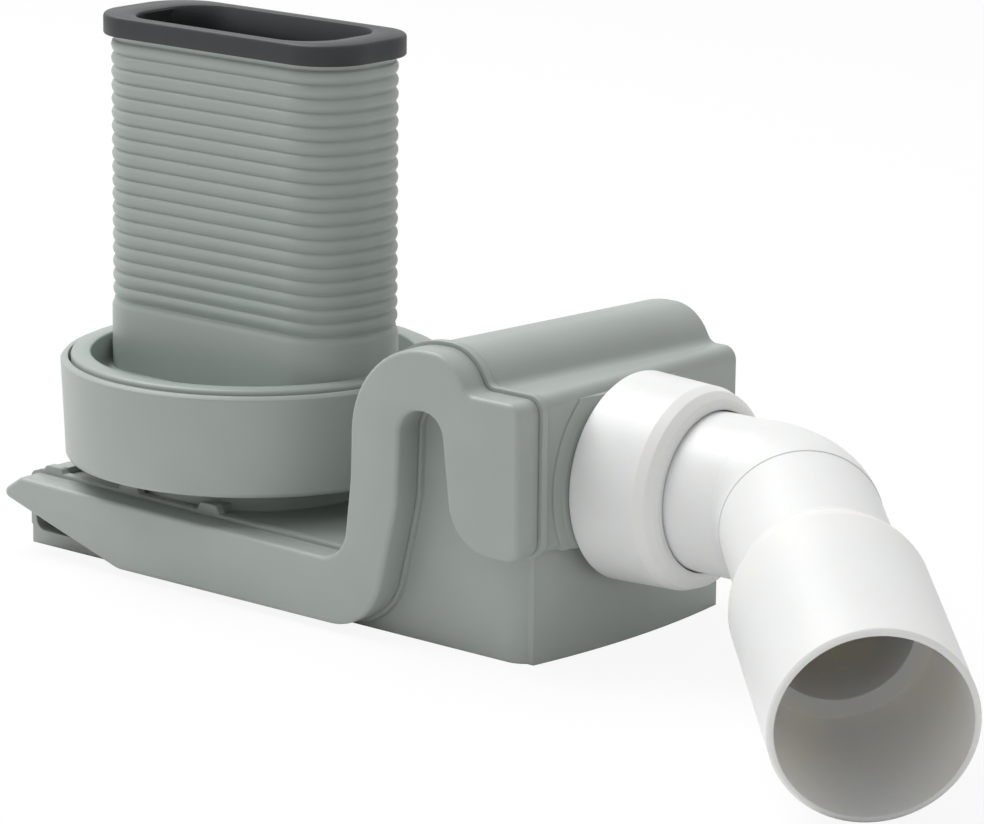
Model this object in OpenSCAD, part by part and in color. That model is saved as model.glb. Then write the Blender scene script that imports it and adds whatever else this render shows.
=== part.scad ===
// Shower channel trap: a moulded housing with a water seal, a ribbed flat inlet spigot
// and a 45 degree outlet elbow.
// Z = 0 is the plane the foot stands on, the inlet axis is the Z axis and water leaves towards +X.

/* [Housing] */
// Wall thickness of the housing and its cover
wall = 2.4; // [2:0.1:2.8]
// Distance from the inlet axis to the front face of the side cover
front_y = 54.4; // [53:0.2:56]
// Depth of the side cover, from its front face to the weld line
cover_t = 10.2; // [9:0.2:11]
// Distance from the inlet axis to the back wall
back_y = 54.5; // [53:0.5:58]
// Height of the tray's top above the foot plane
tray_top = 23.8; // [22:0.2:25]
// Height of the crest that the water climbs over
crest_top = 96.8; // [94:0.5:100]
// Height of the chamber's shoulder on the outlet side
shoulder_top = 85.5; // [83:0.5:88]
// Height of the chamber's underside
chamber_bottom = 35.9; // [34:0.5:37]
// Height of the notch under the crest, which sets the depth of the water seal
notch_top = 77.2; // [75:0.2:78]
// Angle in plan that the riser and crest turn towards the outlet
crest_skew = 5.5; // [0:0.5:7]
// Distance from the inlet axis to the chamber's outlet face
outlet_x = 159; // [157:0.5:162]
// Distance from the inlet axis to the riser's near face
riser_x = 92.2; // [90:0.5:94]
// Height the weld bead stands proud of the cover's outline
bead_h = 1.1; // [0.6:0.1:1.6]
// Width of the weld bead behind the cover
bead_w = 3; // [2:0.2:4]

/* [Foot] */
// Distance from the inlet axis to the foot's inlet end
foot_left = 62.8; // [60:0.5:65]
// Distance from the inlet axis to the foot's outlet end, at its corners
foot_right = 154.6; // [152:0.5:156]
// How far the foot's outlet end bulges in the middle
foot_bulge = 4; // [2:0.5:4.5]
// Distance from the inlet axis to the foot's front wall
foot_front = 42.2; // [41:0.2:44]

/* [Cup] */
// Outer radius of the cup at its rim
cup_r = 63.9; // [62:0.2:66]
// Height of the cup's rim
cup_top = 67.7; // [66:0.2:69]
// Height of the cup's underside
cup_bottom = 34; // [33:0.2:35]
// Width of the cup's rim wall
cup_wall = 2.2; // [2:0.1:2.6]
// Outer radius of the neck that joins the cup to the tray
neck_r = 41; // [39:0.5:41.5]

/* [Inlet insert] */
// Radial clearance between the insert and the cup's wall
insert_gap = 0.9; // [0.6:0.1:1.2]
// Width of the insert's flat rim, from its skirt in to the bowl
rim_w = 6.6; // [6:0.1:8]
// Height of the insert's flat rim
insert_top = 69.3; // [68.5:0.1:70.5]
// Height of the bowl's floor
bowl_floor = 59.4; // [58:0.2:61]
// Half of the flat spigot's length, over the ribs
spigot_a = 54.2; // [52:0.2:56]
// Half of the flat spigot's width, over the ribs
spigot_b = 22.6; // [21:0.2:24]
// Corner radius of the flat spigot, over the ribs
spigot_r = 19.5; // [17:0.2:20.5]
// Depth of the groove between two ribs
groove_d = 1.1; // [0.6:0.1:1.3]
// Spacing of the ribs, where the spigot is cut to length
rib_pitch = 4.567; // [4.4:0.05:4.7]
// Least height of plain wall between the top groove and the rim
band_min = 3.4; // [2:0.2:5]
// Height of the lowest groove
groove_z = 83.3; // [82:0.2:85]
// Wall thickness of the spigot under its grooves
spigot_wall = 2.2; // [1.8:0.1:2.6]

/* [Rim seal] */
// Height of the seal's top face
seal_top = 178.4; // [177:0.2:180]
// Height of the seal's outer skirt
seal_h = 5.4; // [4.5:0.1:6.5]
// Distance the seal stands out past the ribs
seal_out = 1.5; // [1:0.1:2.2]

/* [Outlet] */
// Height of the outlet axis
outlet_z = 54.4; // [53:0.2:56]
// Outer radius of the waste pipe size that the nut grips
pipe_r = 25; // [24.8:0.1:25.2]
// Outer radius of the union nut at its rear edge
nut_r = 33; // [32.4:0.1:34]
// Outer radius of the conical boss behind the nut
boss_r = 36.8; // [35:0.2:38]
// Length of the union nut
nut_len = 30.6; // [29:0.2:32]
// Gap between the outlet face's boss and the nut
nut_gap = 3.2; // [2.6:0.1:4]

/* [Outlet elbow] */
// Distance from the inlet axis to the point where the elbow bends
bend_x = 224; // [222:0.5:227]
// Bend of the elbow in degrees
bend_a = 45; // [40:1:50]
// Turn of the elbow below the level, as fitted, in degrees
elbow_roll = 14; // [0:0.5:14]
// Length from the bend point to the socket's mouth
leg_len = 143; // [138:1:145]
// Inner radius of the solvent weld socket
socket_r = 28; // [27.9:0.05:28.1]
// Depth of the socket to its stop
socket_depth = 60; // [55:1:62]
// Outer radius of the socket
socket_out = 30; // [29.8:0.1:30.4]
// Inner radius of the elbow's bore
bore_r = 22.2; // [21.5:0.1:22.6]

/* [Hidden] */
$fn = 96;
hair = 0.02;

joint_y = -front_y + cover_t;
nut_x = outlet_x + nut_gap;
thread_r = nut_r - 3.4;
spigot_end = nut_x + 17;
spigot_in = pipe_r + 0.35;
elbow_r = pipe_r - 0.04;
seal_len = 3;
ring_len = 1.6;
tray_in_top = tray_top - wall;
cover_base = 2.4;

// Outline helpers: a corner list holds [x, z, radius], listed anticlockwise

function unit(v) = v / norm(v);
function cross2(a, b) = a[0] * b[1] - a[1] * b[0];
function pt(c) = [c[0], c[1]];
function at(v, i) = v[(i + len(v)) % len(v)];
function inward(v, i) = unit(pt(at(v, i - 1)) - pt(v[i]));
function onward(v, i) = unit(pt(at(v, i + 1)) - pt(v[i]));
function half_turn(v, i) = (180 - acos(inward(v, i) * onward(v, i))) / 2;
function tangent_len(v, i) = v[i][2] * tan(half_turn(v, i));
function t_in(v, i) = pt(v[i]) + inward(v, i) * tangent_len(v, i);
function t_out(v, i) = pt(v[i]) + onward(v, i) * tangent_len(v, i);
function convex(v, i) = cross2(-inward(v, i), onward(v, i)) > 0;
function bisector(v, i) = unit(inward(v, i) + onward(v, i));
function arc_centre(v, i) = pt(v[i]) + bisector(v, i) * v[i][2] / cos(half_turn(v, i));
function normal_of(d) = [d[1], -d[0]];

// Corner i of outline v after every edge moves out by d
function moved(v, i, d) =
    let (n1 = normal_of(-inward(v, i)), n2 = normal_of(onward(v, i)))
    pt(v[i]) + d * (n1 + n2) / (1 + n1 * n2);
function grown(v, d) = [for (i = [0 : len(v) - 1])
    let (p = moved(v, i, d), r = v[i][2] + (convex(v, i) ? d : -d))
    [p[0], p[1], max(r, 0.3)]];

// Outline with true arcs at its corners, each a hair proud of its tangent lines so that they cross cleanly
module outline(v) {
    last = len(v) - 1;
    difference() {
        union() {
            polygon([for (i = [0 : last]) each [t_in(v, i), t_out(v, i)]]);
            for (i = [0 : last]) if (convex(v, i)) corner_arc(v, i);
        }
        for (i = [0 : last]) if (!convex(v, i)) corner_arc(v, i);
    }
}

// The disc that rounds corner i, kept to the corner by a wedge
module corner_arc(v, i) {
    r = v[i][2];
    lap = 1.3 * sqrt(2 * r * hair);
    reach = tangent_len(v, i) + lap;
    n = bisector(v, i);
    a = pt(v[i]) + inward(v, i) * reach;
    b = pt(v[i]) + onward(v, i) * reach;
    depth = reach * (inward(v, i) * n) + 2;
    intersection() {
        translate(arc_centre(v, i)) circle(r + hair);
        polygon([a + n * 0.8, a - n * depth, b - n * depth, b + n * 0.8]);
    }
}

// Extrudes an x-z outline along Y, from y0 to y1
module along_y(y0, y1) {
    translate([0, y1, 0]) rotate([90, 0, 0]) linear_extrude(y1 - y0) children();
}

// Extrudes the riser's outline along its own skewed direction
module along_skew(y0, y1) {
    translate([riser_x, joint_y, 0]) rotate([0, 0, -crest_skew]) translate([-riser_x, -joint_y, 0])
        along_y(y0, y1) children();
}

// Outlines of the water path

tray_left = -66;
arch_r = 30.4;
flank = [6.6, 11.4];

// The whole channel seen from the side: tray, riser, crest and chamber
channel = [
    [-11, cover_base, 12],
    [100.3, cover_base, 22],
    [110.9, 46, 40],
    [112, notch_top, 8],
    [128.4, notch_top, 8],
    [133.6, chamber_bottom, 16],
    [outlet_x + 0.9, chamber_bottom, 5],
    [outlet_x + 0.9, shoulder_top, 4.5],
    [139.3, shoulder_top, 4],
    [139.3 - flank[0], crest_top, 15],
    [riser_x, crest_top, arch_r],
    [riser_x - 0.6, 52, 60],
    [riser_x - 3.8, tray_top - 0.2, 11],
    [-56, tray_top + 1.8, 2.5],
    [tray_left, 19, 2.2]
];

// The riser and the crest on their own, for the skewed part
riser = [
    [72, cover_base, 1],
    [100.3, cover_base, 22],
    [110.9, 46, 40],
    [112, notch_top, 8],
    [146, notch_top, 1],
    [146, shoulder_top, 1],
    [139.3, shoulder_top, 4],
    [139.3 - flank[0], crest_top, 15],
    [riser_x, crest_top, arch_r],
    [riser_x - 0.6, 52, 60],
    [riser_x - 3.8, tray_top - 0.2, 11],
    [72, tray_top, 1]
];

chamber = [
    [133.6, chamber_bottom, 16],
    [outlet_x, chamber_bottom, 3],
    [outlet_x, shoulder_top, 4.5],
    [128, shoulder_top, 1],
    [129.4, 70, 1]
];

// Housing

// Plan of the foot with its bulged outlet end
module foot_plan(grow) {
    x0 = -foot_left - grow;
    x1 = foot_right + grow;
    y0 = -foot_front - grow;
    y1 = back_y + grow;
    half = (y1 - y0) / 2;
    arc_r = (half * half + foot_bulge * foot_bulge) / (2 * foot_bulge);
    inlet_r = max(1 + grow, 0.3);
    outline([[x0, y0, inlet_r], [x1, y0, 8 + grow], [x1, y1, 8 + grow], [x0, y1, inlet_r]]);
    intersection() {
        translate([x1 + foot_bulge - arc_r, (y0 + y1) / 2]) circle(arc_r, $fn = 240);
        translate([x1 - 6, y0 + 2.4]) square([20, 2 * half - 4.8]);
    }
}

module foot() {
    linear_extrude(tray_top - 5) foot_plan(0);
    linear_extrude(chamber_bottom) intersection() {
        foot_plan(0);
        translate([103, -foot_front - 5]) square([90, 2 * back_y + 10]);
    }
}

module tray() {
    along_y(-foot_front, back_y) outline([
        [-foot_left, 6, 1],
        [riser_x, 6, 1],
        [riser_x, tray_top, 1],
        [-foot_left, tray_top + 1.4, 3]
    ]);
}

// Web that closes the notch between the riser and the chamber
module notch_web() {
    translate([98, -foot_front, chamber_bottom - 2])
        cube([52, foot_front + back_y, notch_top - chamber_bottom + 5]);
}

module bead() {
    intersection() {
        along_y(joint_y, joint_y + bead_w) outline(grown(channel, bead_h));
        union() {
            translate([-80, -60, 14]) cube([145, 120, 120]);
            translate([60, -60, 0]) cube([160, 120, 120]);
        }
    }
    for (x = rib_xs) rib_bump(x);
}

rib_t = 2.6;
rib_h = 3.4;
rib_xs = [-50, -15, 21];

// The weld bead rises over each rib
module rib_bump(x) {
    along_y(joint_y, joint_y + bead_w) outline([
        [x - 6, tray_top, 0.5],
        [x + 6, tray_top, 0.5],
        [x + 3.4, tray_top + 4.6, 1.6],
        [x - 3.4, tray_top + 4.6, 1.6]
    ]);
}

module tray_ribs() {
    for (x = rib_xs) translate([x - rib_t / 2, joint_y + 1, tray_top - 4])
        cube([rib_t, back_y - joint_y - 4, rib_h + 4]);
}

module cup_shell() {
    rotate_extrude($fn = 180) polygon([
        [0, cup_bottom],
        [cup_r - 3, cup_bottom],
        [cup_r - 2, cup_bottom + 0.4],
        [cup_r - 1.4, cup_bottom + 1.4],
        [cup_r, cup_top - 1],
        [cup_r - 0.9, cup_top],
        [cup_r - 5, cup_top],
        [0, cup_top]
    ]);
    translate([0, 0, tray_top - 4]) cylinder(r = neck_r, h = cup_bottom - tray_top + 5);
}

cup_in_r = cup_r - 0.3 - cup_wall;
ledge_z = 46;

module cup_space() {
    rotate_extrude($fn = 180) polygon([
        [0, cup_bottom + wall],
        [cup_in_r - 9, cup_bottom + wall],
        [cup_in_r - 3.4, cup_bottom + wall + 2],
        [cup_in_r - 2, cup_bottom + wall + 6],
        [cup_in_r - 2, ledge_z],
        [cup_in_r, ledge_z],
        [cup_in_r, ledge_z + 2.4],
        [cup_in_r - 0.6, ledge_z + 2.7],
        [cup_in_r - 0.6, ledge_z + 3.3],
        [cup_in_r, ledge_z + 3.9],
        [cup_in_r, cup_top + 1],
        [0, cup_top + 1]
    ]);
    translate([0, 0, tray_in_top - 3]) cylinder(r = neck_r - wall, h = cup_bottom + wall - tray_in_top + 4);
}

// Boss and threaded spigot that the nut screws onto
module outlet_spigot() {
    translate([outlet_x, 0, outlet_z]) rotate([0, 90, 0]) {
        cylinder(r = thread_r - 1.3, h = spigot_end - outlet_x);
    }
    // conical boss, cut level with the chamber's shoulder and underside
    intersection() {
        translate([outlet_x - 3, 0, outlet_z]) rotate([0, 90, 0]) rotate_extrude() polygon([
            [0, 0],
            [boss_r, 0],
            [boss_r, 3.4],
            [boss_r - 3.4, 4.2],
            [boss_r - 5.6, 5.4],
            [0, 5.4]
        ]);
        translate([outlet_x - 4, -50, chamber_bottom]) cube([10, 100, shoulder_top - chamber_bottom - 3]);
    }
    turns = 4;
    for (k = [0 : turns - 1]) translate([nut_x + 1.6 + 3.5 * k, 0, outlet_z]) rotate([0, 90, 0])
        cylinder(r = thread_r - 0.2, h = 1.4);
}

module outlet_space() {
    translate([outlet_x - 8, 0, outlet_z]) rotate([0, 90, 0]) cylinder(r = bore_r, h = 60);
    translate([spigot_end - 14, 0, outlet_z]) rotate([0, 90, 0]) cylinder(r = spigot_in, h = 20);
}

module channel_space() {
    intersection() {
        along_skew(joint_y - 12, back_y + 3) outline(grown(riser, -wall));
        translate([-80, joint_y - 20, 0]) cube([300, back_y - wall - joint_y + 20, 120]);
    }
    along_y(joint_y - 12, back_y - wall) outline(grown(chamber, -wall));
    along_y(joint_y - 12, back_y - wall) outline([
        [-foot_left + wall, cover_base + wall, 4],
        [88, cover_base + wall, 1],
        [88, tray_in_top, 1],
        [-foot_left + wall, tray_in_top + 1, 2]
    ]);
}

// Hollow under the chamber and inside the notch, open below
module under_space() {
    difference() {
        translate([0, 0, -1]) intersection() {
            linear_extrude(notch_top + 1) foot_plan(-wall);
            union() {
                translate([102, -60, 0]) cube([78, 120, chamber_bottom + 1]);
                translate([102, -60, 0]) cube([30, 120, notch_top + 2]);
            }
        }
        along_skew(-60, 60) outline(riser);
        along_skew(-60, 60) translate([60, -5]) square([43, 12]);
        along_y(-60, 60) outline(chamber);
    }
}

module trap_housing() {
    color("#a3a8a2") difference() {
        union() {
            intersection() {
                union() {
                    foot();
                    tray();
                    notch_web();
                    along_skew(joint_y - 15, back_y + 20) outline(riser);
                    along_y(joint_y, back_y) outline(chamber);
                }
                translate([-80, joint_y, 0]) cube([300, back_y - joint_y, 120]);
            }
            bead();
            tray_ribs();
            cup_shell();
            outlet_spigot();
        }
        channel_space();
        cup_space();
        outlet_space();
        under_space();
    }
}

// Side cover, welded onto the open side

module side_cover() {
    color("#a6aba5") {
        difference() {
            along_y(-front_y, joint_y) outline(channel);
            along_y(-front_y + wall, joint_y + 1) outline(grown(channel, -wall));
        }
        for (x = rib_xs) translate([x - rib_t / 2, -front_y + 2, tray_top - 1.2])
            cube([rib_t, cover_t - 2, rib_h + 0.8]);
    }
}

// Inlet insert: bowl, collar and ribbed flat spigot in one moulding

insert_r = cup_in_r - insert_gap;
bowl_r = insert_r - rim_w;
spigot_top = seal_top - 2.6;
groove_n = floor((spigot_top - band_min - groove_z) / rib_pitch) + 1;
bore_in = groove_d + spigot_wall;

// Rounded rectangle in plan, shrunk by d from the outside of the ribs
module flat_plan(d) {
    a = spigot_a - d;
    b = spigot_b - d;
    outline([[-a, -b, spigot_r - d], [a, -b, spigot_r - d], [a, b, spigot_r - d], [-a, b, spigot_r - d]]);
}

// Section of the ribbed wall: distance out from the bore, against height
rib_section = [
    [0, bowl_floor - 2],
    [bore_in + 0.3, bowl_floor - 2],
    [bore_in + 0.3, groove_z - 2.2],
    [bore_in, groove_z - 1.2],
    for (k = [0 : groove_n - 1]) let (z = groove_z + k * rib_pitch) each [
        [bore_in, z - 0.75],
        [bore_in - groove_d, z - 0.1],
        [bore_in - groove_d, z + 0.35],
        [bore_in, z + 1.3]
    ],
    [bore_in, spigot_top - 0.6],
    [bore_in - 0.6, spigot_top],
    [0, spigot_top]
];

module rib_corner(x, y, turn) {
    translate([x, y, 0]) rotate([0, 0, turn]) rotate_extrude(angle = 90)
        translate([spigot_r - bore_in, 0]) polygon(rib_section);
}

module spigot_tube() {
    ca = spigot_a - spigot_r;
    cb = spigot_b - spigot_r;
    inner = spigot_r - bore_in;
    rib_corner(ca, cb, 0);
    rib_corner(-ca, cb, 90);
    rib_corner(-ca, -cb, 180);
    rib_corner(ca, -cb, 270);
    for (s = [0, 180]) rotate([0, 0, s]) {
        translate([ca, cb + inner, 0]) rotate([90, 0, -90])
            linear_extrude(2 * ca) mirror([1, 0]) polygon(rib_section);
        translate([ca + inner, -cb, 0]) rotate([90, 0, 0]) mirror([0, 0, 1])
            linear_extrude(2 * cb) polygon(rib_section);
    }
}

module inlet_insert() {
    color("#a9b2a8") {
        spigot_tube();
        difference() {
            rotate_extrude($fn = 180) polygon([
                [0, bowl_floor - wall],
                [bowl_r + 1.8, bowl_floor - wall],
                [bowl_r + 1.8, insert_top - wall],
                [insert_r - 3, insert_top - wall],
                [insert_r - 3, seat_z],
                [insert_r - 2, seat_z - 1.5],
                [insert_r - 2, ledge_z + 0.1],
                [insert_r + 0.3, ledge_z + 0.1],
                [insert_r + 0.6, ledge_z + 1.9],
                [insert_r, ledge_z + 2.1],
                [insert_r, seat_z + 0.9],
                [insert_r - 1.5, seat_z + 0.9],
                [insert_r - 1.5, seat_z + 4.1],
                [insert_r, seat_z + 4.1],
                [insert_r, insert_top - 1.6],
                [insert_r - 1, insert_top],
                [bowl_r + 0.5, insert_top],
                [bowl_r, insert_top - 0.5],
                [bowl_r, bowl_floor],
                [0, bowl_floor]
            ]);
            translate([0, 0, bowl_floor - wall - 1]) linear_extrude(wall + 2) flat_plan(bore_in - 0.02);
        }
    }
}

seat_z = 52;

// Lip seal in the groove of the insert's skirt, wiping the cup's wall
module lip_seal() {
    color("#2a2c2e") rotate_extrude($fn = 180) polygon([
        [insert_r - 1.5, seat_z + 0.9],
        [insert_r - 0.2, seat_z + 0.9],
        [insert_r + 0.2, seat_z + 1.6],
        [cup_in_r - 0.05, seat_z + 2.3],
        [cup_in_r - 0.05, seat_z + 3.1],
        [insert_r + 0.2, seat_z + 3.4],
        [insert_r - 0.2, seat_z + 4.1],
        [insert_r - 1.5, seat_z + 4.1]
    ]);
}

// Rubber seal pushed onto the spigot's top

module rim_seal() {
    color("#2a2c2e") difference() {
        union() {
            translate([0, 0, seal_top - seal_h]) linear_extrude(seal_h) flat_plan(-seal_out);
            translate([0, 0, seal_top - seal_h - 1.6]) linear_extrude(3) intersection() {
                flat_plan(-seal_out);
                translate([-70, -30]) square([90, 20]);
            }
        }
        translate([0, 0, seal_top - seal_h - 3]) linear_extrude(seal_h + 0.4 + (spigot_top - seal_top) + 2.6)
            flat_plan(-0.02);
        translate([0, 0, seal_top - 4]) linear_extrude(8) flat_plan(bore_in);
    }
}

// Outlet joint

module outlet_seal() {
    color("#2a2c2e") translate([spigot_end, 0, outlet_z]) rotate([0, 90, 0]) rotate_extrude() polygon([
        [pipe_r, -1.2],
        [spigot_in, -1.2],
        [spigot_in, 0],
        [thread_r - 1.6, 0],
        [thread_r - 1.6, 2.2],
        [thread_r - 2.4, seal_len],
        [pipe_r, seal_len]
    ]);
}

module slip_ring() {
    color("#e8e8e4") translate([spigot_end + seal_len, 0, outlet_z]) rotate([0, 90, 0]) difference() {
        cylinder(r = thread_r - 1.4, h = ring_len);
        translate([0, 0, -1]) cylinder(r = spigot_in, h = ring_len + 2);
    }
}

module union_nut() {
    color("#ececec") translate([nut_x, 0, outlet_z]) rotate([0, 90, 0]) difference() {
        union() {
            rotate_extrude() polygon([
                [0, 0],
                [nut_r - 0.5, 0],
                [nut_r, 0.6],
                [nut_r - 1, nut_len - 6.5],
                [nut_r - 2.2, nut_len - 3],
                [nut_r - 4.4, nut_len - 0.8],
                [nut_r - 5.8, nut_len],
                [0, nut_len]
            ]);
        }
        translate([0, 0, -1]) cylinder(r = thread_r, h = spigot_end + seal_len + ring_len - nut_x + 1);
        translate([0, 0, -1]) cylinder(r = spigot_in + 0.1, h = nut_len + 3);
    }
}

// Elbow, gripped by the nut

elbow_start = spigot_end - 12.6;

// Places things along the leg: its axis is +Z from the mouth back to the bend
module on_leg() {
    translate([bend_x, 0, outlet_z]) rotate([elbow_roll, 0, 0]) rotate([0, 0, -bend_a]) rotate([0, 90, 0])
        children();
}

// Round bar of radius r along the elbow, from x0 through the bend to d1 along the leg
module elbow_run(r, x0, d1) {
    reach = bend_r * tan(bend_a / 2);
    lap = 2;
    translate([x0, 0, outlet_z]) rotate([0, 90, 0]) cylinder(r = r, h = bend_x - reach + lap - x0);
    translate([bend_x - reach, 0, outlet_z]) rotate([elbow_roll, 0, 0]) translate([0, -bend_r, 0])
        rotate([0, 0, 90 - bend_a]) rotate_extrude(angle = bend_a) translate([bend_r, 0]) circle(r + 0.25);
    on_leg() translate([0, 0, reach - lap]) cylinder(r = r, h = d1 - reach + lap);
}

bend_r = 30;
stop_d = leg_len - socket_depth;

module outlet_elbow() {
    color("#ececec") difference() {
        union() {
            elbow_run(elbow_r, elbow_start, stop_d - 20);
            on_leg() translate([0, 0, stop_d - 31]) rotate_extrude() polygon([
                [0, 0],
                [elbow_r + 0.1, 0],
                [elbow_r + 0.6, 3],
                [socket_out - 0.6, 12],
                [socket_out, 15.5],
                [socket_out, 31 + socket_depth - 0.8],
                [socket_out - 0.8, 31 + socket_depth],
                [0, 31 + socket_depth]
            ]);
        }
        elbow_run(bore_r, elbow_start - 1, stop_d + 0.5);
        on_leg() translate([0, 0, stop_d]) cylinder(r = socket_r, h = socket_depth + 1);
    }
}

trap_housing();
side_cover();
inlet_insert();
lip_seal();
rim_seal();
outlet_seal();
slip_ring();
union_nut();
outlet_elbow();
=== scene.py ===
"""Shower channel trap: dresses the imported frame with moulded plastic, rubber and a studio stage."""

import math

import bmesh
import bpy
from mathutils import Matrix, Vector


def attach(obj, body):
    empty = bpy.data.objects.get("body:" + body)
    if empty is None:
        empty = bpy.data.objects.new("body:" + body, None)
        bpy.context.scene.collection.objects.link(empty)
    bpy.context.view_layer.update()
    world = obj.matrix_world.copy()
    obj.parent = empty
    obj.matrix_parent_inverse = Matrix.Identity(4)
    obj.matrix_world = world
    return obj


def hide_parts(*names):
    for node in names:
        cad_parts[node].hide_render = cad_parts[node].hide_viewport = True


bl_info = {
    "name": "Shower Channel Trap",
    "version": (1, 0, 0),
    "blender": (4, 5, 0),
    "location": "View3D > Sidebar > Trap",
    "description": "Builds the visible pieces of a flat shower channel trap around its packed frame",
    "category": "Object",
}

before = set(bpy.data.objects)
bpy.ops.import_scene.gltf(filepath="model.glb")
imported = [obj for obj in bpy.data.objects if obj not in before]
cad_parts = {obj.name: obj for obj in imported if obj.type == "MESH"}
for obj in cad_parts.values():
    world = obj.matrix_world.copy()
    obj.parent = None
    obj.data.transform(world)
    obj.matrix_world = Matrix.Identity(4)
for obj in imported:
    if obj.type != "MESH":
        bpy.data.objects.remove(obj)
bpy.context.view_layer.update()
MM = 0.001


# Settings


def length(name, about, mm):
    """A length setting, given in millimetres and kept in metres."""
    return bpy.props.FloatProperty(name=name, description=about, default=mm * MM, unit="LENGTH")


def colour(name, about, code):
    """A colour setting, kept as sRGB hex."""
    return bpy.props.StringProperty(name=name, description=about, default=code)


class TrapSizes(bpy.types.PropertyGroup):
    """Sizes of the visible pieces, in metres."""

    front: length("Front face", "From the inlet axis to the side cover's face", 54.4)
    cover_depth: length("Cover depth", "From the cover's face to the weld line", 10.2)
    cover_round: length("Cover edge", "Radius of the cover's front edge", 1.5)
    spigot_length: length("Spigot half length", "Half of the flat spigot's length over its ribs", 54.2)
    spigot_width: length("Spigot half width", "Half of the flat spigot's width over its ribs", 22.6)
    spigot_corner: length("Spigot corner", "Corner radius over the ribs", 19.5)
    rib_pitch: length("Rib pitch", "Spacing of the grooves round the spigot", 4.567)
    rib_count: bpy.props.IntProperty(name="Grooves", description="Grooves round the spigot", default=20)
    rib_depth: length("Groove depth", "Depth of each groove", 1.1)


class TrapColours(bpy.types.PropertyGroup):
    """Colours of the finishes, as sRGB hex."""

    housing: colour("Housing", "Grey polypropylene of the housing", "#a4aba7")
    insert: colour("Insert", "Light grey polypropylene of the insert", "#9ea6a1")
    white: colour("Elbow and nut", "White polypropylene of the outlet pieces", "#ececea")
    rubber: colour("Rubber", "Black rubber of the seals", "#242628")
    floor: colour("Floor", "Pale floor and backdrop", "#f4f4f4")


def sizes():
    return bpy.context.scene.trap_sizes


def colours():
    return bpy.context.scene.trap_colours


# Materials
# Pattern sizes in millimetres: flow clouds in the plastic, bloom patches and pores of the rubber
FLOW_CLOUD = 26
BLOOM_PATCH = 9
RUBBER_PORE = 0.8
# How far light runs inside the thin white plastic, in millimetres
SCATTER_DEPTH = 5
PLASTIC_IOR = 1.49
RUBBER_IOR = 1.5

def linear(code):
    """An sRGB hex colour as linear RGBA."""
    parts = [int(code[i : i + 2], 16) / 255 for i in (1, 3, 5)]
    return [c / 12.92 if c <= 0.04045 else ((c + 0.055) / 1.055) ** 2.4 for c in parts] + [1.0]


def shade(code, factor):
    """The hex colour made lighter or darker by a factor, as linear RGBA."""
    return [min(1.0, c * factor) for c in linear(code)[:3]] + [1.0]


def add_node(tree, kind, inputs=None, **settings):
    """Adds one node with its settings, socket values and links."""
    node = tree.nodes.new(kind)
    for name, value in settings.items():
        setattr(node, name, value)
    for socket, value in (inputs or {}).items():
        if isinstance(value, bpy.types.NodeSocket):
            tree.links.new(value, node.inputs[socket])
        else:
            node.inputs[socket].default_value = value
    return node


def per_mm(size):
    """Noise scale for a pattern of the given size in millimetres, in object metres."""
    return 1.0 / (size * MM)


def blank(name):
    """An empty material and the object coordinates that its patterns use."""
    material = bpy.data.materials.new(name)
    material.use_nodes = True
    tree = material.node_tree
    tree.nodes.clear()
    return material, tree, add_node(tree, "ShaderNodeTexCoord").outputs["Object"]


def noise(tree, place, size_mm, detail, roughness=0.5):
    """Noise whose lumps are about the given size in millimetres."""
    values = {"Vector": place, "Scale": per_mm(size_mm), "Detail": detail, "Roughness": roughness}
    return add_node(tree, "ShaderNodeTexNoise", values).outputs["Fac"]


def between(tree, factor, low, high):
    """Colour that runs from low to high with the factor."""
    mix = add_node(tree, "ShaderNodeMix", data_type="RGBA")
    tree.links.new(factor, mix.inputs["Factor"])
    mix.inputs["A"].default_value = low
    mix.inputs["B"].default_value = high
    return mix.outputs["Result"]


def moulded_plastic(name, code, roughness, grain_mm, mottle, edge_mm, scatter=0.0):
    """Injection-moulded polypropylene: an even satin skin, faint flow clouds and a fine tool grain."""
    material, tree, place = blank(name)
    clouds = noise(tree, place, FLOW_CLOUD, 3.0)
    spread = add_node(tree, "ShaderNodeMapRange", {"Value": clouds, "From Min": 0.3, "From Max": 0.7})
    tint = between(tree, spread.outputs["Result"], shade(code, 1 - mottle), shade(code, 1 + mottle))
    grain = noise(tree, place, grain_mm, 4.0, 0.6)
    soft_edge = add_node(tree, "ShaderNodeBevel", {"Radius": edge_mm * MM}, samples=6)
    relief = {"Height": grain, "Strength": 0.12, "Distance": 0.15 * MM, "Normal": soft_edge.outputs["Normal"]}
    bump = add_node(tree, "ShaderNodeBump", relief)
    satin = {"Value": grain, "To Min": roughness - 0.05, "To Max": roughness + 0.07}
    gloss = add_node(tree, "ShaderNodeMapRange", satin)
    surface = {
        "Base Color": tint,
        "Roughness": gloss.outputs["Result"],
        "Normal": bump.outputs["Normal"],
        "IOR": PLASTIC_IOR,
        "Subsurface Weight": scatter,
        "Subsurface Radius": (1.0, 0.85, 0.6),
        "Subsurface Scale": SCATTER_DEPTH * MM,
    }
    shader = add_node(tree, "ShaderNodeBsdfPrincipled", surface)
    add_node(tree, "ShaderNodeOutputMaterial", {"Surface": shader.outputs["BSDF"]})
    return material


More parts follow.
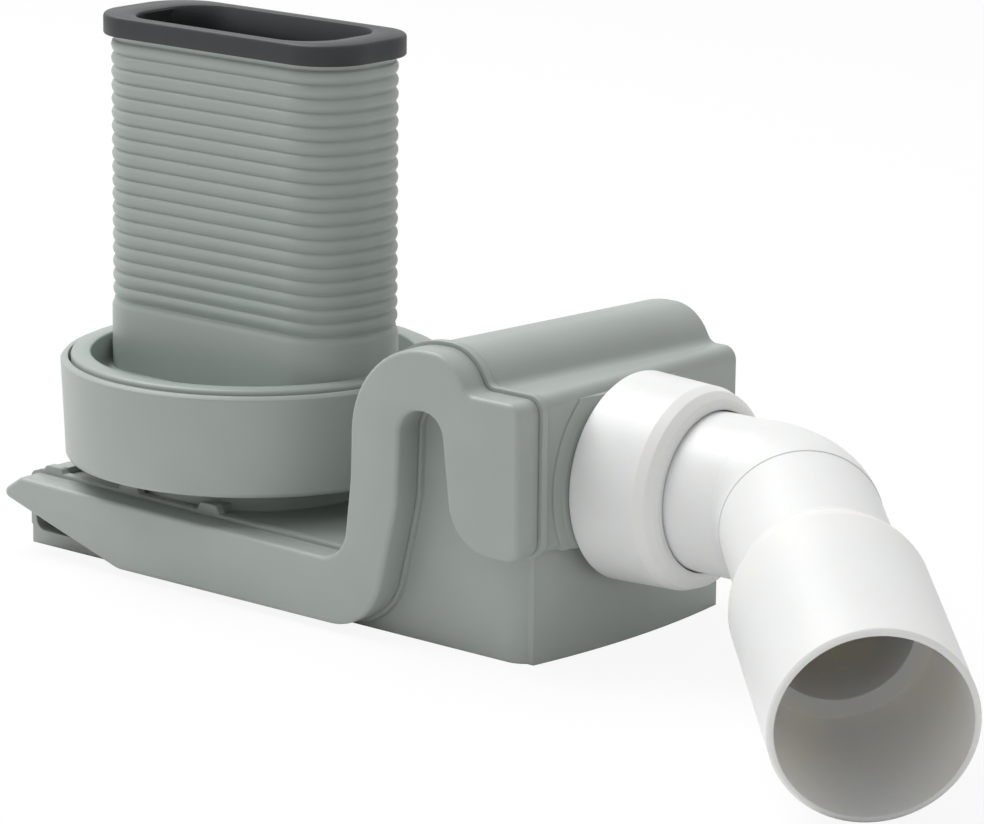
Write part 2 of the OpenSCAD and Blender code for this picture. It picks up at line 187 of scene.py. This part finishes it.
def moulded_rubber(name, code):
    """Compression-moulded EPDM: dull black skin with a faint bloom."""
    material, tree, place = blank(name)
    tint = between(tree, noise(tree, place, BLOOM_PATCH, 5.0), shade(code, 0.8), shade(code, 1.35))
    relief = {"Height": noise(tree, place, RUBBER_PORE, 2.0), "Strength": 0.2, "Distance": 0.2 * MM}
    bump = add_node(tree, "ShaderNodeBump", relief)
    surface = {"Base Color": tint, "Roughness": 0.5, "Normal": bump.outputs["Normal"], "IOR": RUBBER_IOR}
    shader = add_node(tree, "ShaderNodeBsdfPrincipled", surface)
    add_node(tree, "ShaderNodeOutputMaterial", {"Surface": shader.outputs["BSDF"]})
    return material


MATERIALS = {}


def finish_of(key):
    """The finished material for a record slot, made on first use."""
    if key not in MATERIALS:
        shades = colours()
        grey = (0.42, 1.4, 0.03, 0.9)
        pale = (0.42, 1.2, 0.02, 0.5)
        white = (0.36, 1.6, 0.012, 0.6, 0.5)
        makers = {
            "housing_plastic": lambda: moulded_plastic("moulded_grey_polypropylene", shades.housing, *grey),
            "insert_plastic": lambda: moulded_plastic("moulded_light_grey_polypropylene", shades.insert, *pale),
            "white_plastic": lambda: moulded_plastic("moulded_white_polypropylene", shades.white, *white),
            "black_rubber": lambda: moulded_rubber("moulded_black_rubber", shades.rubber),
        }
        MATERIALS[key] = makers[key]()
    return MATERIALS[key]


def finish_node(name, slot):
    """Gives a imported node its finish."""
    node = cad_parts[name]
    node.data.materials.clear()
    node.data.materials.append(finish_of(slot))


# Mesh helpers


def piece(name, verts, faces, slot, replaces=(), smooth_angle=35.0):
    """A finished mesh piece from points in metres: shaded smooth, sharp only at real edges."""
    mesh = bpy.data.meshes.new(name)
    mesh.from_pydata([tuple(v) for v in verts], [], faces)
    mesh.validate()
    shape = bmesh.new()
    shape.from_mesh(mesh)
    bmesh.ops.remove_doubles(shape, verts=shape.verts, dist=1e-6)
    bmesh.ops.recalc_face_normals(shape, faces=shape.faces)
    for face in shape.faces:
        face.smooth = True
    for edge in shape.edges:
        if len(edge.link_faces) == 2 and edge.calc_face_angle(0.0) > math.radians(smooth_angle):
            edge.smooth = False
    shape.to_mesh(mesh)
    shape.free()
    obj = bpy.data.objects.new(name, mesh)
    bpy.context.scene.collection.objects.link(obj)
    obj.data.materials.append(finish_of(slot))
    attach(obj, "root")
    if replaces:
        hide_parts(*replaces)
    return obj


def bridge(rings, closed=False):
    """Points and quads that join equal rings of points; closed joins the last ring to the first."""
    count = len(rings[0])
    verts = [point for ring in rings for point in ring]
    faces = []
    last = len(rings) if closed else len(rings) - 1
    for i in range(last):
        a, b = i * count, ((i + 1) % len(rings)) * count
        for j in range(count):
            k = (j + 1) % count
            faces.append((a + j, a + k, b + k, b + j))
    return verts, faces


def corner_ring(corners, grow, step=6.0):
    """Rounded outline of (x, z, radius) corners grown by a distance, with as many points at any growth."""
    points = []
    count = len(corners)
    for i in range(count):
        here = Vector(corners[i][:2])
        back = (Vector(corners[i - 1][:2]) - here).normalized()
        ahead = (Vector(corners[(i + 1) % count][:2]) - here).normalized()
        turn = (-back).angle_signed(ahead)
        turn = -turn
        out_a = Vector((-back.y, back.x))
        out_b = Vector((ahead.y, -ahead.x))
        moved = here + (out_a + out_b) * (grow / (1 + out_a.dot(out_b)))
        radius = max(corners[i][2] + (grow if turn > 0 else -grow), 0.05)
        reach = radius * math.tan(abs(turn) / 2)
        centre = moved + (back + ahead).normalized() * (radius / math.cos(abs(turn) / 2))
        start = moved + back * reach - centre
        steps = max(2, math.ceil(abs(math.degrees(turn)) / step))
        for k in range(steps + 1):
            angle = turn * k / steps
            c, s = math.cos(angle), math.sin(angle)
            points.append(centre + Vector((start.x * c - start.y * s, start.x * s + start.y * c)))
    return points


def side_profile(corners, grow, y):
    """The outline as points of the X-Z plane at depth y, millimetres in and metres out."""
    return [Vector((p.x, y, p.y)) * MM for p in corner_ring(corners, grow)]


def capped(rings):
    """Bridged rings with a face on each end."""
    verts, faces = bridge(rings)
    count = len(rings[0])
    faces.append(tuple(range(count)))
    faces.append(tuple(range(len(verts) - count, len(verts))))
    return verts, faces


# Shapes of this trap

# The side cover's outline in millimetres: x, z and corner radius, anticlockwise from the tray's underside
CHANNEL = [
    (-11, 2.4, 12), (100.3, 2.4, 22), (110.9, 46, 40), (112, 77.2, 8), (128.4, 77.2, 8),
    (133.6, 35.9, 16), (159.9, 35.9, 5), (159.9, 85.5, 4.5), (139.3, 85.5, 4), (132.7, 96.8, 15),
    (92.2, 96.8, 30.4), (91.6, 52, 60), (88.4, 23.6, 11), (-56, 25.6, 2.5), (-66, 19, 2.2),
]

STRAIGHT_STEPS = 16
CORNER_STEPS = 14
BOWL_FLOOR = 59.4
LOWEST_GROOVE = 83.3
# Half length, half width, corner radius and height round the rim seal's section, in millimetres,
# from its outer skirt to its funnel
SEAL_SECTION = [
    (54.3, 22.75, 19.6, 171.6), (55.1, 23.5, 17.2, 171.6), (55.3, 23.6, 17, 172), (55.3, 23.6, 17, 177.4),
    (55.1, 23.4, 16.8, 178), (54.6, 22.9, 16.3, 178.4), (43.8, 20, 15, 178.4), (43, 19.4, 14.6, 178.1),
    (42.7, 19.1, 14.4, 177.4), (44.5, 17.9, 14.5, 172), (48.8, 17.3, 14.2, 166.5), (49.3, 17.6, 14.4, 166),
    (50.6, 19.1, 16, 166.3), (50.6, 19.1, 16, 175.6), (54.3, 22.75, 19.6, 175.6),
]
# Radius and height in millimetres round the insert's skirt, hook, seal groove, rim and bowl,
# from the underside to the bowl floor
BOWL_SECTION = [
    (55.7, 57), (55.7, 66.9), (57.5, 66.9), (57.5, 52), (58.5, 50.5), (58.5, 46.1), (60.8, 46.1),
    (61.1, 47.9), (60.5, 48.1), (60.5, 52.9), (59, 52.9), (59, 56.1), (60.5, 56.1), (60.5, 68.2),
    (60.2, 68.9), (59.5, 69.3), (54.6, 69.3), (54.1, 69.1), (53.9, 68.6), (53.9, 61.6), (53.3, 60.2),
    (51.9, 59.4),
]


class TRAP_OT_housing(bpy.types.Operator):
    """Gives the moulded housing its grey polypropylene"""

    bl_idname = "trap.housing"
    bl_label = "Housing"

    def execute(self, context):
        finish_node("trap_housing", "housing_plastic")
        return {"FINISHED"}


class TRAP_OT_cover(bpy.types.Operator):
    """Builds the S-shaped side cover with its soft front edge"""

    bl_idname = "trap.cover"
    bl_label = "Side cover"

    def execute(self, context):
        s = sizes()
        front = -s.front / MM
        joint = front + s.cover_depth / MM
        edge = s.cover_round / MM
        weld_edge = ((-0.5, joint), (-0.15, joint - 0.25), (0, joint - 0.6))
        rings = [side_profile(CHANNEL, grow, y) for grow, y in weld_edge]
        for k in range(7):
            angle = math.radians(90 * k / 6)
            inset, back = edge * (1 - math.cos(angle)), edge * (1 - math.sin(angle))
            rings.append(side_profile(CHANNEL, -inset, front + back))
        piece("side_cover_skin", *capped(rings), "housing_plastic", replaces=("side_cover",))
        return {"FINISHED"}


def flat_ring(a, b, r, z):
    """Points round a flat oval in plan, evenly spaced in angle along its straights and round its corners."""
    points = []
    for side in range(4):
        half, across = (b, a) if side % 2 == 0 else (a, b)
        turn = math.tau / 4 * side
        reach = half - r
        sweep = math.atan2(reach, across)
        for k in range(STRAIGHT_STEPS + 1):
            angle = sweep * (2 * k / STRAIGHT_STEPS - 1)
            points.append(turned(across, across * math.tan(angle), turn))
        for k in range(1, CORNER_STEPS):
            angle = math.tau / 4 * k / CORNER_STEPS
            points.append(turned(across - r + r * math.cos(angle), reach + r * math.sin(angle), turn))
    return [Vector((x, y, z)) * MM for x, y in points]


def turned(x, y, angle):
    """A plan point turned about the inlet axis."""
    return x * math.cos(angle) - y * math.sin(angle), x * math.sin(angle) + y * math.cos(angle)


def round_ring(guide, radius, z):
    """Circle about the inlet axis with one point in the direction of each point of the guide ring."""
    points = []
    for p in guide:
        angle = math.atan2(p.y, p.x)
        points.append(Vector((radius * math.cos(angle), radius * math.sin(angle), z)) * MM)
    return points


class TRAP_OT_insert(bpy.types.Operator):
    """Builds the bowl and the ribbed flat spigot of the inlet insert"""

    bl_idname = "trap.insert"
    bl_label = "Inlet insert"

    def execute(self, context):
        s = sizes()
        a, b, r = s.spigot_length / MM, s.spigot_width / MM, s.spigot_corner / MM
        depth, pitch = s.rib_depth / MM, s.rib_pitch / MM
        under = [(3.3, 174.9), (3.3, BOWL_FLOOR - 2.4)]
        rings = [flat_ring(a - d, b - d, r - d, z) for d, z in under]
        guide = rings[-1]
        rings += [round_ring(guide, radius, z) for radius, z in BOWL_SECTION]
        collar = [(-0.3, BOWL_FLOOR), (-0.3, 80.3), (0.05, 81.2), (0.35, 81.8), (0.6, 82.3)]
        ribs = []
        for k in range(s.rib_count):
            z = LOWEST_GROOVE + pitch * k
            ribs += [(0.5, z - 0.62), (depth, z - 0.2), (depth, z + 0.2), (0.5, z + 0.75), (0.2, z + 1.35)]
            ribs += [(0.02, z + 2.1), (0.0, z + 2.7), (0.2, z + 3.4)]
        rim = [(0.2, 174.6), (0.9, 175.5), (2.7, 175.5)]
        rings += [flat_ring(a - d, b - d, r - d, z) for d, z in collar + ribs + rim]
        shape = bridge(rings, closed=True)
        piece("inlet_insert_skin", *shape, "insert_plastic", replaces=("inlet_insert",), smooth_angle=50)
        return {"FINISHED"}


class TRAP_OT_seals(bpy.types.Operator):
    """Builds the rim seal with its funnel and gives the hidden seals their rubber"""

    bl_idname = "trap.seals"
    bl_label = "Seals"

    def execute(self, context):
        rings = [flat_ring(*section) for section in SEAL_SECTION]
        shape = bridge(rings, closed=True)
        piece("rim_seal_skin", *shape, "black_rubber", replaces=("rim_seal",), smooth_angle=40)
        for name in ("lip_seal", "outlet_seal"):
            finish_node(name, "black_rubber")
        return {"FINISHED"}


class TRAP_OT_outlet(bpy.types.Operator):
    """Gives the nut, slip ring and elbow their finish"""

    bl_idname = "trap.outlet"
    bl_label = "Outlet pieces"

    def execute(self, context):
        for name in ("union_nut", "slip_ring", "outlet_elbow"):
            finish_node(name, "white_plastic")
        return {"FINISHED"}


# Stage

CAMERA_PLACE = Vector((1.03848, -1.10726, 0.41872))
CAMERA_TURN = (40.174, 13.726, 0.606)
CAMERA_FOCAL_PX = 4692.71
PHOTO_WIDTH = 984
# Share of plain white in the floor as the camera sees it, and the sky's strength as a light
FLOOR_GLOW = 0.9
SKY_LIGHT = 0.5


def camera_matrix():
    """Camera pose from its heading, tilt and roll in degrees."""
    heading, tilt, roll = (math.radians(v) for v in CAMERA_TURN)
    right = Vector((math.cos(heading), math.sin(heading), 0))
    back = Vector((math.sin(heading) * math.cos(tilt), -math.cos(heading) * math.cos(tilt), math.sin(tilt)))
    up = back.cross(right)
    level, rise = math.cos(roll) * right + math.sin(roll) * up, math.cos(roll) * up - math.sin(roll) * right
    pose = Matrix((level, rise, back)).transposed().to_4x4()
    pose.translation = CAMERA_PLACE
    return pose


def area_lamp(name, place, aim, size, power):
    """A round soft lamp that points at a place, in metres and watts."""
    lamp = bpy.data.lights.new(name, "AREA")
    lamp.shape = "DISK"
    lamp.size = size
    lamp.energy = power
    obj = bpy.data.objects.new(name, lamp)
    obj.location = place
    obj.rotation_euler = (Vector(aim) - Vector(place)).to_track_quat("-Z", "Y").to_euler()
    bpy.context.scene.collection.objects.link(obj)


class TRAP_OT_stage(bpy.types.Operator):
    """Sets the floor, soft light, sky and camera"""

    bl_idname = "trap.stage"
    bl_label = "Stage"

    def execute(self, context):
        scene = context.scene
        bpy.ops.mesh.primitive_plane_add(size=8, location=(0.1, 0, 0))
        floor = context.object
        floor.name = "studio_floor"
        paper = bpy.data.materials.new("matt_white_paper")
        paper.use_nodes = True
        tree = paper.node_tree
        tree.nodes.clear()
        rays = add_node(tree, "ShaderNodeLightPath")
        matt = add_node(tree, "ShaderNodeBsdfDiffuse", {"Color": linear(colours().floor)})
        glow = add_node(tree, "ShaderNodeEmission", {"Color": (1, 1, 1, 1), "Strength": 1.0})
        dimmed = {0: rays.outputs["Is Camera Ray"], 1: FLOOR_GLOW}
        share = add_node(tree, "ShaderNodeMath", dimmed, operation="MULTIPLY")
        layers = {"Fac": share.outputs["Value"], 1: matt.outputs["BSDF"], 2: glow.outputs["Emission"]}
        mix = add_node(tree, "ShaderNodeMixShader", layers)
        add_node(tree, "ShaderNodeOutputMaterial", {"Surface": mix.outputs["Shader"]})
        floor.data.materials.append(paper)

        sky = bpy.data.worlds.new("studio_sky")
        scene.world = sky
        sky.use_nodes = True
        tree = sky.node_tree
        tree.nodes.clear()
        rays = add_node(tree, "ShaderNodeLightPath")
        seen = rays.outputs["Is Camera Ray"]
        for kind in ("Is Transmission Ray", "Is Glossy Ray"):
            either = {0: seen, 1: rays.outputs[kind]}
            seen = add_node(tree, "ShaderNodeMath", either, operation="MAXIMUM").outputs["Value"]
        levels = {"Value": seen, "To Min": SKY_LIGHT, "To Max": 1.0}
        power = add_node(tree, "ShaderNodeMapRange", levels)
        glow = {"Color": (1, 1, 1, 1), "Strength": power.outputs["Result"]}
        light = add_node(tree, "ShaderNodeBackground", glow)
        add_node(tree, "ShaderNodeOutputWorld", {"Surface": light.outputs["Background"]})

        area_lamp("key_softbox", (-0.75, -0.1, 1.5), (0.05, 0, 0.05), 1.3, 24)

        lens = bpy.data.cameras.new("photo_camera")
        lens.sensor_width = 36
        lens.lens = CAMERA_FOCAL_PX / PHOTO_WIDTH * 36
        lens.clip_start = 0.05
        camera = bpy.data.objects.new("photo_camera", lens)
        camera.matrix_world = camera_matrix()
        scene.collection.objects.link(camera)
        scene.camera = camera
        scene.view_settings.view_transform = "Standard"
        return {"FINISHED"}


class TRAP_PT_sidebar(bpy.types.Panel):
    """Lists the trap's sizes, colours and build steps"""

    bl_idname = "TRAP_PT_sidebar"
    bl_label = "Shower Channel Trap"
    bl_space_type = "VIEW_3D"
    bl_region_type = "UI"
    bl_category = "Trap"

    def draw(self, context):
        for group in (context.scene.trap_sizes, context.scene.trap_colours):
            for name in group.__annotations__:
                self.layout.prop(group, name)
        for step in STEPS:
            self.layout.operator(step.bl_idname)


STEPS = (TRAP_OT_stage, TRAP_OT_housing, TRAP_OT_cover, TRAP_OT_insert, TRAP_OT_seals, TRAP_OT_outlet)
CLASSES = (TrapSizes, TrapColours) + STEPS + (TRAP_PT_sidebar,)


def register():
    for item in CLASSES:
        bpy.utils.register_class(item)
    bpy.types.Scene.trap_sizes = bpy.props.PointerProperty(type=TrapSizes)
    bpy.types.Scene.trap_colours = bpy.props.PointerProperty(type=TrapColours)


def unregister():
    del bpy.types.Scene.trap_colours
    del bpy.types.Scene.trap_sizes
    for item in reversed(CLASSES):
        bpy.utils.unregister_class(item)


def main():
    register()
    bpy.ops.trap.stage()
    bpy.ops.trap.housing()
    bpy.ops.trap.cover()
    bpy.ops.trap.insert()
    bpy.ops.trap.seals()
    bpy.ops.trap.outlet()


if __name__ == "__main__":
    main()
